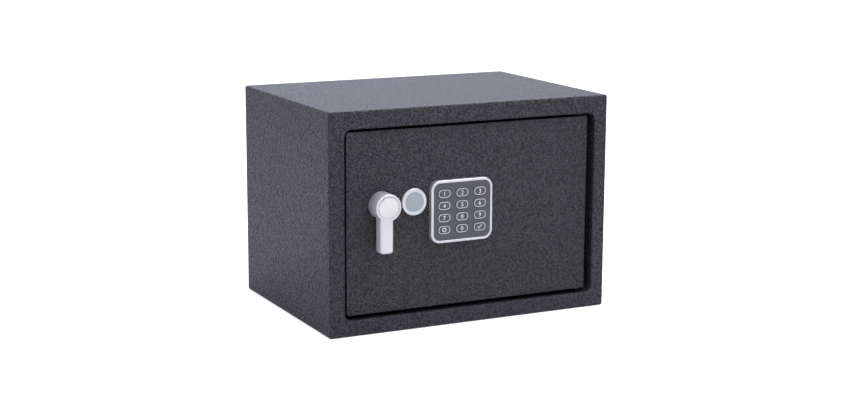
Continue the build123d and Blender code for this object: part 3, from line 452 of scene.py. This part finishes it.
class SAFE_OT_cap(bpy.types.Operator):
    """Model the cap over the emergency lock: a rounded ring and a plain, slightly crowned face"""

    bl_idname = "safe.cap"
    bl_label = "Model the lock cap"

    def execute(self, context):
        fittings = context.scene.safe_fittings
        centre, front, back = middle("cap_ring")
        low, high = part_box("cap_ring")
        radius = (high.x - low.x) / 2
        face_low, face_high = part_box("cap_face")
        face_radius = (face_high.x - face_low.x) / 2
        round_edge, inner_edge = 1.1 * MM, 0.4 * MM
        profile = np.concatenate([
            [(face_radius, back), (radius, back)],
            arc((radius - round_edge, front + round_edge), round_edge, 0, -90),
            arc((face_radius + inner_edge, front + inner_edge), inner_edge, -90, -180, 5),
            [(face_radius, front + 0.7 * MM)],
        ])
        silver = silver_plastic(fittings.silver)
        build("lock_cap_ring", [turned(profile, centre, loop=True)], silver, "lock_cap",
              ("cap_ring",))
        # Moulded plastic under a clear lacquer: an even pale blue-grey with a soft gloss
        enamel = grained(
            "lacquered_cap_face", fittings.cap_face, depth=0.05, grain=6, relief=0.004, rough=(0.2, 0.26),
            Coat_Weight=0.4, Coat_Roughness=0.1,
        )
        edge_depth, crown_height = 0.35 * MM, 0.25 * MM
        steps = np.linspace(face_radius, AXIS_FLAT, 24)
        crown = face_high.y - edge_depth - crown_height * (1 - (steps / face_radius) ** 2)
        profile = np.concatenate([[(AXIS_FLAT, face_high.y), (face_radius, face_high.y)],
                                  np.stack([steps, crown], axis=-1)])
        build("lock_cap_face", [turned(profile, centre)], enamel, "lock_cap", ("cap_face",))
        return {"FINISHED"}


def silver_plastic(colour):
    """Silver lacquer on moulded ABS: metal flake too fine to see, with a soft, pale gloss."""
    return grained(
        "silver_lacquered_abs", colour, depth=0.06, grain=0.6, relief=0.003, rough=(0.28, 0.34),
        Metallic=0.75,
    )


def dark_plastic(name, colour, rough=(0.42, 0.5)):
    """Spark-textured ABS: a fine, even grain that spreads the highlights."""
    return grained(name, colour, depth=0.12, grain=0.7, relief=0.012, rough=rough, IOR=1.5)


class SAFE_OT_keypad(bpy.types.Operator):
    """Model the keypad's frame and finish its panel"""

    bl_idname = "safe.keypad"
    bl_label = "Model the keypad"

    def execute(self, context):
        fittings = context.scene.safe_fittings
        centre, front, back = middle("keypad_housing")
        low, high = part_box("keypad_housing")
        panel_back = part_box("keypad_panel")[1].y
        width, tall = high.x - low.x, high.z - low.z
        corner, border, ledge = 11 * MM, 3 * MM, 1.6 * MM
        edge, inner = 1.3 * MM, 0.45 * MM
        profile = np.concatenate([
            [(0.25 * MM, back), (0, back - 0.25 * MM)],
            arc((edge, front + edge), edge, 180, 270),
            arc((border - inner, front + inner), inner, 270, 360, 5),
            [(border, panel_back), (border + ledge, panel_back), (border + ledge, back)],
        ])
        build("keypad_frame", [framed(profile, centre, width, tall, corner, loop=True, per_corner=16)],
              silver_plastic(fittings.silver), "door", ("keypad_housing",))
        dress(("keypad_panel",), dark_plastic("spark_textured_abs_panel", fittings.panel))
        return {"FINISHED"}


class SAFE_OT_keys(bpy.types.Operator):
    """Model the twelve keys with their printed outlines and legends"""

    bl_idname = "safe.keys"
    bl_label = "Model the keys"

    def execute(self, context):
        fittings = context.scene.safe_fittings
        cap = dark_plastic("spark_textured_abs_key", fittings.panel, (0.36, 0.44))
        # Screen-printed ink: flat, pale and a little rough
        ink = grained(
            "screen_print_ink", fittings.legend, depth=0.05, grain=0.5, relief=0.002, rough=(0.5, 0.6)
        )
        for node, digit in KEY_LEGENDS.items():
            centre, front, back = middle(node)
            self.cap(node, centre, front, back, cap)
            self.print(node, digit, centre, front, ink, fittings)
        return {"FINISHED"}

    def cap(self, node, centre, front, back, material):
        """A foot behind the panel and a cap whose edge is a quarter circle round the rounded outline."""
        low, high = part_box(node)
        flange, foot, edge, corner = 0.9 * MM, 0.8 * MM, 0.4 * MM, 4.5 * MM
        profile = np.concatenate([
            [(0, back), (0, back - foot), (flange, back - foot)],
            arc((flange + edge, front + edge), edge, 180, 270, 6),
        ])
        surface = framed(profile, centre, high.x - low.x, high.z - low.z, corner)
        build(node + "_cap", [surface], material, node, (node,))

    def print(self, node, digit, centre, front, ink, fittings):
        """The outline is a band round the cap's edge, and the legend a thin raised print."""
        low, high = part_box(node)
        lift, start = 0.04 * MM, 1.45 * MM
        outline = self.band(start, start + fittings.outline_width, front, lift)
        surfaces = [framed(outline, centre, high.x - low.x, high.z - low.z, 5.5 * MM, loop=True)]
        if digit:
            surfaces.append(self.letter(digit, centre, front, lift, fittings.legend_height))
        elif node == "key_ring":
            outer, inner = 2.5 * MM, 1.5 * MM
            surfaces.append(turned(self.band(outer, inner, front, lift), centre, 40, loop=True))
        else:
            tick = np.array([
                (-2.6, -0.3), (-2.0, 0.3), (-1.0, -0.9), (2.3, 2.6), (2.8, 2.1), (-1.0, -2.3),
            ]) * MM
            rings = [
                np.stack([centre[0] + tick[:, 0], np.full(len(tick), y), centre[1] + tick[:, 1]], axis=-1)
                for y in (front + lift, front - lift)
            ]
            surfaces.append(rings_to_surface(np.array(rings)))
        build(node + "_print", surfaces, ink, node)

    def band(self, near, far, front, lift):
        """A thin rectangle of (distance, y) across the key's face, from near to far."""
        return [(near, front + lift), (near, front - lift), (far, front - lift), (far, front + lift)]

    def letter(self, digit, centre, front, lift, height):
        """The points and faces of a digit that stands upright on the key's face."""
        curve = bpy.data.curves.new(digit, "FONT")
        curve.body, curve.align_x, curve.align_y = digit, "CENTER", "CENTER"
        curve.size, curve.extrude, curve.offset = height / 0.7, lift, 0.04 * MM
        curve.resolution_u = 4
        text = bpy.data.objects.new(digit, curve)
        bpy.context.scene.collection.objects.link(text)
        bpy.context.view_layer.update()
        mesh = bpy.data.meshes.new_from_object(text)
        upright = Matrix.Rotation(math.pi / 2, 4, "X")
        mesh.transform(Matrix.Translation((centre[0], front, centre[1])) @ upright)
        points = np.zeros(len(mesh.vertices) * 3)
        mesh.vertices.foreach_get("co", points)
        faces = [list(face.vertices) for face in mesh.polygons]
        bpy.data.objects.remove(text)
        points = points.reshape(-1, 3)
        return points + (centre[0] - (points[:, 0].min() + points[:, 0].max()) / 2, 0,
                         centre[1] - (points[:, 2].min() + points[:, 2].max()) / 2), faces


class SAFE_OT_works(bpy.types.Operator):
    """Finish the lock, the bolt work, the solenoid and the electronics"""

    bl_idname = "safe.works"
    bl_label = "Finish the works"

    def execute(self, context):
        works = context.scene.safe_works
        # Blue-passivated zinc plate: a dull bright grey with faint spangles
        zinc = grained("zinc_plated_steel", works.zinc, depth=0.18, grain=3, relief=0.01,
                       rough=(0.28, 0.45), Metallic=1.0)
        dress(("handle_bush", "bolt_guides", "guide_studs", "solenoid_frame", "cover_posts",
               "handle_spindle", "handle_crank", "spindle_nut", "bolt_plate", "lock_cam"), zinc)
        # Turned steel: fine rings that run round the pins
        steel = grained("turned_steel", linear("#9c9da1"), depth=0.15, grain=0.8, relief=0.006,
                        rough=(0.25, 0.4), stretch=(6, 6, 1), Metallic=1.0)
        dress(("plunger_spring", "solenoid_plunger", "bolt_rivets"), steel)
        # Black oxide on turned steel: nearly black with a faint oily sheen
        blackened = grained("blackened_steel", linear("#1c1c1e"), depth=0.2, grain=1, relief=0.006,
                            rough=(0.35, 0.5), Metallic=0.6)
        dress(("hinge_pins",), blackened)
        # Hard chrome on ground bar: nearly a mirror, with faint lengthwise grinding marks
        chrome = grained("chromed_steel_bar", linear("#c9cacc"), depth=0.06, grain=0.8, relief=0.002,
                         rough=(0.08, 0.16), stretch=(8, 1, 1), Metallic=1.0)
        dress(("live_bolts",), chrome)
        # Nickel plate on brass: warm, bright and smooth
        nickel = grained("nickel_plated_brass", linear("#bdb8ab"), depth=0.08, grain=2, relief=0.002,
                         rough=(0.14, 0.22), Metallic=1.0)
        dress(("lock_barrel", "lock_nut", "battery_contacts"), nickel)
        # Turned brass: yellow metal with a fine grain
        brass = grained("turned_brass", linear("#c9a35a"), depth=0.12, grain=0.8, relief=0.003,
                        rough=(0.2, 0.32), Metallic=1.0)
        dress(("lock_plug", "board_spacers"), brass)
        # Polyester tape wound over copper: dark, slightly glossy and creased
        tape = grained("taped_winding", linear("#1d1a17"), depth=0.3, grain=2.5, relief=0.05,
                       rough=(0.25, 0.4), stretch=(3, 3, 1))
        dress(("solenoid_coil",), tape)
        # Solder mask over glass laminate: deep green with the weave just showing
        bare_board, filled_board = (
            grained(name, linear("#1f5a35"), depth=0.3, grain=1.6, relief=0.01, rough=(0.2, 0.35))
            for name in ("green_solder_mask", "green_solder_mask_with_parts")
        )
        dress(("keypad_board",), bare_board)
        # Black moulded parts stand behind the main board's laminate
        laminate = 1.7 * MM
        self.behind(filled_board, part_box("circuit_board")[0].y + laminate, linear("#1b1b1e"))
        dress(("circuit_board",), filled_board)
        # Silicone rubber: matt and grey
        rubber = grained("silicone_rubber_mat", linear("#6b6c70"), depth=0.15, grain=1.2, relief=0.01,
                         rough=(0.6, 0.7))
        dress(("key_mat",), rubber)
        black = dark_plastic("spark_textured_abs_black", linear("#232326"))
        dress(("battery_case", "battery_lid", "reset_switch"), black)
        # Moulded red plastic with a polished tool finish
        red = grained("polished_red_abs", works.reset, depth=0.1, grain=1.5, relief=0.003,
                      rough=(0.16, 0.24))
        dress(("reset_button",), red)
        self.screws(zinc, works.recess_depth)
        self.cells(works.sleeve, nickel)
        return {"FINISHED"}

    def behind(self, material, depth, colour):
        """Give whatever lies behind the depth another colour."""
        tree = material.node_tree
        base = tree.nodes["Principled BSDF"].inputs["Base Color"]
        place = add_node(tree, "ShaderNodeTexCoord").outputs["Object"]
        y = add_node(tree, "ShaderNodeSeparateXYZ", {"Vector": place}).outputs["Y"]
        further = add_node(
            tree, "ShaderNodeMath", {0: y, 1: depth}, operation="GREATER_THAN"
        ).outputs["Value"]
        tree.links.new(mixed(tree, further, base.links[0].from_socket, colour), base)

    def screws(self, zinc, recess):
        """Pan heads on a polar grid: the height is a quarter ellipse of the radius, less the recess
        where the point lies in one of the two bars of a cross."""
        low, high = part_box("cover_screws")
        radius, shank, length, cover_sheet = 3.2 * MM, 1.5 * MM, 9 * MM, 1.2 * MM
        head = high.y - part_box("cover_posts")[1].y - cover_sheet
        seat, around = high.y - head, 72
        steps = np.linspace(radius, 0.05 * MM, 28)[:, None]
        angle = np.linspace(0, 2 * math.pi, around, endpoint=False)[None, :]
        across, up = steps * np.cos(angle), steps * np.sin(angle)
        bar, reach = 0.45 * MM, 1.9 * MM
        in_cross = ((abs(across) < bar) & (abs(up) < reach)) | ((abs(up) < bar) & (abs(across) < reach))
        dome = head * (0.45 + 0.55 * np.sqrt(np.clip(1 - (steps / radius) ** 2, 0, 1)))
        height = dome - recess * in_cross
        surfaces = []
        for x in (low.x + radius, high.x - radius):
            for z in (low.z + radius, high.z - radius):
                top = np.stack([x + across, seat + height, z + up], axis=-1)
                under = np.array([
                    np.stack(
                        [x + r * np.cos(angle[0]), np.full(around, y), z + r * np.sin(angle[0])], axis=-1
                    )
                    for r, y in ((shank, seat - length), (shank, seat), (radius, seat))
                ])
                surfaces.append(rings_to_surface(np.concatenate([under, top])))
        build("cover_screw_heads", surfaces, zinc, "door", ("cover_screws",))

    def cells(self, sleeve_colour, nickel):
        """Each cell is a profile turned about its own upright axis: a crimped sleeve and two terminals."""
        # Printed film shrunk on the cell: glossy, plain, with a faint wrinkle
        film = grained("shrink_sleeve_film", sleeve_colour, depth=0.1, grain=4, relief=0.01,
                       rough=(0.15, 0.25))
        low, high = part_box("battery_cells")
        radius, count = (high.y - low.y) / 2, 4
        places = np.linspace(low.x + radius, high.x - radius, count)
        crimp, rim, nub, nub_height = 0.5 * MM, 0.8 * MM, 2.6 * MM, 1.0 * MM
        shoulder = high.z - nub_height
        sleeve = [
            (radius - rim, low.z + crimp), (radius - crimp / 2, low.z + crimp / 2),
            (radius, low.z + 2 * crimp), (radius, shoulder - 2 * crimp),
            (radius - crimp / 2, shoulder - crimp / 2), (radius - rim, shoulder - crimp),
        ]
        core = [
            (AXIS_FLAT, low.z), (radius - rim, low.z + crimp / 2), (radius - rim, shoulder - crimp),
            (nub, shoulder - crimp), (nub, high.z - crimp / 2), (AXIS_FLAT, high.z),
        ]
        sleeves, ends = [], []
        for number, x in enumerate(places):
            flip = number % 2 == 1
            for profile, group in ((sleeve, sleeves), (core, ends)):
                points, faces = turned(profile, (0, 0), 48, loop=profile is sleeve)
                height = low.z + high.z - points[:, 1] if flip else points[:, 1]
                upright = np.stack([x + points[:, 0], low.y + radius + points[:, 2], height], axis=-1)
                group.append((upright, faces))
        build("cell_sleeves", sleeves, film, "door", ("battery_cells",))
        build("cell_terminals", ends, nickel, "door")


class SAFE_OT_stage(bpy.types.Operator):
    """Set the floor, the lamps, the white surroundings and the camera"""

    bl_idname = "safe.stage"
    bl_label = "Set the stage"

    def execute(self, context):
        studio = context.scene.safe_studio
        self.floor(studio)
        self.surroundings(context.scene)
        self.lamps(studio)
        self.camera(context.scene, studio)
        context.scene.view_settings.view_transform = "Standard"
        return {"FINISHED"}

    def floor(self, studio):
        """A square sheet just under the safe, white where it is seen except in the safe's shadow."""
        half, drop = 8.0, 0.0004
        mesh = bpy.data.meshes.new("floor")
        corners = [(-half, -half, -drop), (half, -half, -drop), (half, half, -drop), (-half, half, -drop)]
        mesh.from_pydata(corners, [], [(0, 1, 2, 3)])
        material, tree, shader = new_material("pale_studio_floor", Base_Color=studio.floor, Roughness=0.9)
        shader.inputs["Emission Color"].default_value = (1, 1, 1, 1)
        lift = 0.62
        camera_ray = add_node(tree, "ShaderNodeLightPath").outputs["Is Camera Ray"]
        glow = add_node(tree, "ShaderNodeMath", {0: camera_ray, 1: lift}, operation="MULTIPLY")
        tree.links.new(glow.outputs["Value"], shader.inputs["Emission Strength"])
        mesh.materials.append(material)
        floor = bpy.data.objects.new("floor", mesh)
        bpy.context.scene.collection.objects.link(floor)

    def surroundings(self, scene):
        """White where the camera sees it. Other rays meet a cool room that grows lighter with height,
        at full strength for a gloss and as a soft fill for the rest."""
        world = bpy.data.worlds.new("studio")
        scene.world = world
        world.use_nodes = True
        tree = world.node_tree
        path = add_node(tree, "ShaderNodeLightPath").outputs
        direction = add_node(tree, "ShaderNodeTexCoord").outputs["Generated"]
        height = add_node(tree, "ShaderNodeSeparateXYZ", {"Vector": direction}).outputs["Z"]
        low, high, fill, white = 0.45, 1.5, 0.42, (1, 1, 1, 1)
        room = add_node(
            tree, "ShaderNodeMapRange",
            {"Value": height, "From Min": -0.1, "From Max": 0.8, "To Min": low, "To Max": high},
        ).outputs["Result"]
        mirrored = add_node(
            tree, "ShaderNodeMath", {0: path["Is Glossy Ray"], 1: path["Is Transmission Ray"]},
            operation="MAXIMUM",
        ).outputs["Value"]
        share = add_node(
            tree, "ShaderNodeMapRange", {"Value": mirrored, "To Min": fill, "To Max": 1.0}
        ).outputs["Result"]
        unseen = add_node(
            tree, "ShaderNodeMath", {0: room, 1: share}, operation="MULTIPLY"
        ).outputs["Value"]
        strength = add_node(
            tree, "ShaderNodeMix", {0: path["Is Camera Ray"], 2: unseen, 3: 1.0}, data_type="FLOAT"
        ).outputs[0]
        background = tree.nodes["Background"]
        colour = mixed(tree, path["Is Camera Ray"], linear("#eef1ff"), white)
        tree.links.new(colour, background.inputs["Color"])
        tree.links.new(strength, background.inputs["Strength"])

    def lamps(self, studio):
        """Square soft boxes, each aimed at the middle of the body."""
        low, high = cad_bounds
        target = (low + high) / 2
        white, blue = (1, 1, 1), (0.72, 0.82, 1)
        boxes = (
            ("front_box", (-0.9, -2.0, 1.3), 1.2, studio.key_power, white),
            ("top_box", (0.7, -0.35, 1.95), 1.6, 36, white),
            ("back_box", (0.5, 1.5, 1.1), 1.4, 5.6, blue),
            ("left_box", (-2.2, 0.2, 0.9), 1.2, 8, white),
        )
        for name, place, side, power, tint in boxes:
            lamp = bpy.data.lights.new(name, "AREA")
            lamp.shape, lamp.size, lamp.energy, lamp.color = "SQUARE", side, power, tint
            piece = bpy.data.objects.new(name, lamp)
            piece.location = place
            piece.rotation_euler = (target - Vector(place)).to_track_quat("-Z", "Y").to_euler()
            bpy.context.scene.collection.objects.link(piece)

    def camera(self, scene, studio):
        """Stand the camera back along its azimuth and elevation, a little right of and below the middle."""
        turn, rise = studio.azimuth, studio.elevation
        back = Vector((math.sin(turn) * math.cos(rise), -math.cos(turn) * math.cos(rise), math.sin(rise)))
        right = Vector((math.cos(turn), math.sin(turn), 0))
        up = back.cross(right)
        aim_right, aim_up = 4.8 * MM, -12.3 * MM
        body_low, body_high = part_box("body_shell")
        lens = bpy.data.cameras.new("camera")
        lens.lens, lens.sensor_width = studio.lens, 36
        camera = bpy.data.objects.new("camera", lens)
        middle_point = (body_low + body_high) / 2
        place = middle_point + back * studio.distance + right * aim_right + up * aim_up
        facing = Matrix((right, up, back)).transposed().to_4x4()
        rolled = Matrix.Rotation(studio.roll, 4, "Z")
        camera.matrix_world = Matrix.Translation(place) @ facing @ rolled
        scene.collection.objects.link(camera)
        scene.camera = camera


class SAFE_PT_panel(bpy.types.Panel):
    """The safe's steps, in the 3D view's sidebar"""

    bl_label = "Electronic safe"
    bl_space_type = "VIEW_3D"
    bl_region_type = "UI"
    bl_category = "Safe"

    def draw(self, context):
        for settings in (context.scene.safe_coating, context.scene.safe_fittings,
                         context.scene.safe_works, context.scene.safe_studio):
            for name in settings.__annotations__:
                self.layout.prop(settings, name)
        for step in STEPS:
            self.layout.operator(step.bl_idname)


STEPS = (
    SAFE_OT_coating, SAFE_OT_handle, SAFE_OT_cap, SAFE_OT_keypad,
    SAFE_OT_keys, SAFE_OT_works, SAFE_OT_stage,
)
SETTINGS = {
    "safe_coating": SafeCoating, "safe_fittings": SafeFittings,
    "safe_works": SafeWorks, "safe_studio": SafeStudio,
}


def register():
    """Register the settings, the steps and the panel."""
    for name, group in SETTINGS.items():
        bpy.utils.register_class(group)
        setattr(bpy.types.Scene, name, bpy.props.PointerProperty(type=group))
    for item in (*STEPS, SAFE_PT_panel):
        bpy.utils.register_class(item)


def unregister():
    """Take away all that register added."""
    for item in (SAFE_PT_panel, *reversed(STEPS)):
        bpy.utils.unregister_class(item)
    for name, group in SETTINGS.items():
        delattr(bpy.types.Scene, name)
        bpy.utils.unregister_class(group)


def main():
    """Run every step in order."""
    register()
    bpy.ops.safe.coating()
    bpy.ops.safe.handle()
    bpy.ops.safe.cap()
    bpy.ops.safe.keypad()
    bpy.ops.safe.keys()
    bpy.ops.safe.works()
    bpy.ops.safe.stage()
    bpy.context.view_layer.update()


if __name__ == "__main__":
    main()
